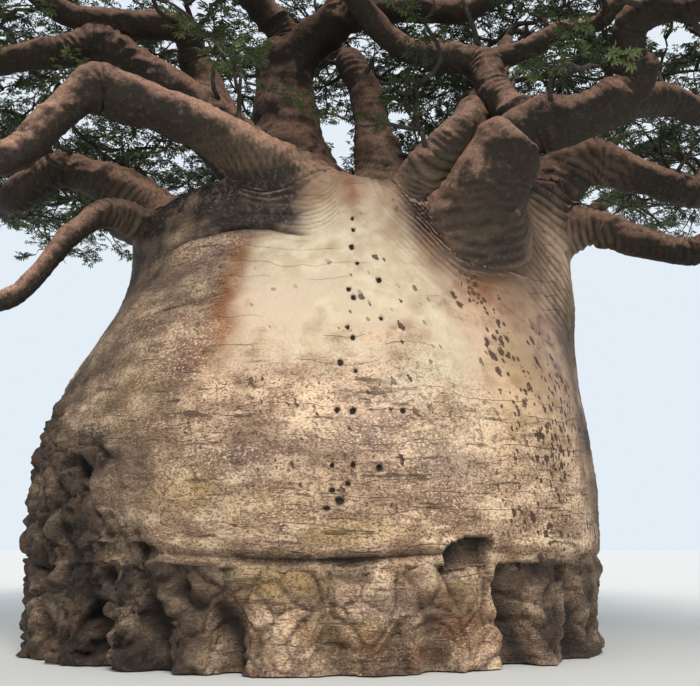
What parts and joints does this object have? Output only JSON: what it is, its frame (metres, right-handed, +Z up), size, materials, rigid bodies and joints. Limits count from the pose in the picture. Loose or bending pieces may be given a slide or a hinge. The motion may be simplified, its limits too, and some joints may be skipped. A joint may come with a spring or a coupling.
{
  "type": "baobab tree",
  "caption": "Old baobab tree with a squat bottle-shaped trunk, heavy crooked boughs that spread from its rim, and a wide, flat, open crown of leafy twigs.",
  "frame": {"origin": "middle of the flat cut under the trunk, at ground level", "axes": "+Z up the trunk, +X to the right and +Y to the back as the picture sees the tree, so its front looks along -Y"},
  "size_m": [23.8133, 21.9631, 13.9165],
  "materials": {
    "trunk_bark": "smooth to lumpy pinkish-tan bark",
    "bough_bark": "rough grey-brown bark",
    "foliage": "matt green leaves on brown twigs"
  },
  "bodies": {
    "root": {"trunk": "trunk_bark", "bough_front_left_lower": "bough_bark", "bough_front_left_outer": "bough_bark", "bough_front_left_rise": "bough_bark", "bough_left_behind": "bough_bark", "bough_upper_left": "bough_bark", "bough_centre_leader": "bough_bark", "bough_leader_left": "bough_bark", "bough_leader_right": "bough_bark", "bough_top_right": "bough_bark", "bough_centre_back": "bough_bark", "bough_centre_right": "bough_bark", "bough_right_fork": "bough_bark", "bough_fork_up": "bough_bark", "bough_fork_arc": "bough_bark", "bough_fork_right": "bough_bark", "bough_hook": "bough_bark", "bough_right_upper": "bough_bark", "bough_right_shoulder": "bough_bark", "bough_right_lower": "bough_bark", "bough_left_shoulder": "bough_bark", "bough_left_low": "bough_bark", "bough_back_left": "bough_bark", "bough_back_left_inner": "bough_bark", "bough_back_centre_left": "bough_bark", "bough_back_centre_right": "bough_bark", "bough_back_right_inner": "bough_bark", "bough_back_right": "bough_bark", "bough_front_top_left": "bough_bark", "bough_front_top_right": "bough_bark", "leaves_front_left": "foliage", "leaves_left": "foliage", "leaves_upper_left": "foliage", "leaves_top_left": "foliage", "leaves_top": "foliage", "leaves_top_right": "foliage", "leaves_back_inner": "foliage", "leaves_back_inner_right": "foliage", "leaves_front_inner": "foliage", "leaves_front_inner_right": "foliage", "leaves_front_right": "foliage", "leaves_right": "foliage", "leaves_right_back": "foliage", "leaves_right_low": "foliage", "leaves_left_back": "foliage", "leaves_left_low": "foliage", "leaves_back_left": "foliage", "leaves_back_left_inner": "foliage", "leaves_back_centre_left": "foliage", "leaves_back_centre_right": "foliage", "leaves_back_right_inner": "foliage", "leaves_back_right": "foliage", "leaves_front_top_left": "foliage", "leaves_front_top_right": "foliage"}
  },
  "joints": []
}
